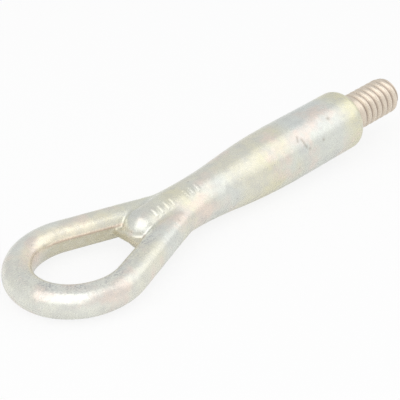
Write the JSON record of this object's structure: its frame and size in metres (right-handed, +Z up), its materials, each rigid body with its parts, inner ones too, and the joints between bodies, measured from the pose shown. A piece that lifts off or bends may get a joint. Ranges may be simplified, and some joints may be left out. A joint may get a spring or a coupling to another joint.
{
  "type": "towing eye",
  "caption": "Forged steel screw-in vehicle towing eye: teardrop loop of round bar, tapered round shank with a shoulder, and a coarse threaded stub.",
  "frame": {"origin": "centre of the stub where it leaves the shank's shoulder", "axes": "+X along the shank out of the thread's tip, the loop in the XY plane, +Z up"},
  "size_m": [0.198, 0.0536, 0.025],
  "materials": {
    "zinc_plated_steel": "satin"
  },
  "bodies": {
    "root": {"tow_eye": "zinc_plated_steel"}
  },
  "joints": []
}
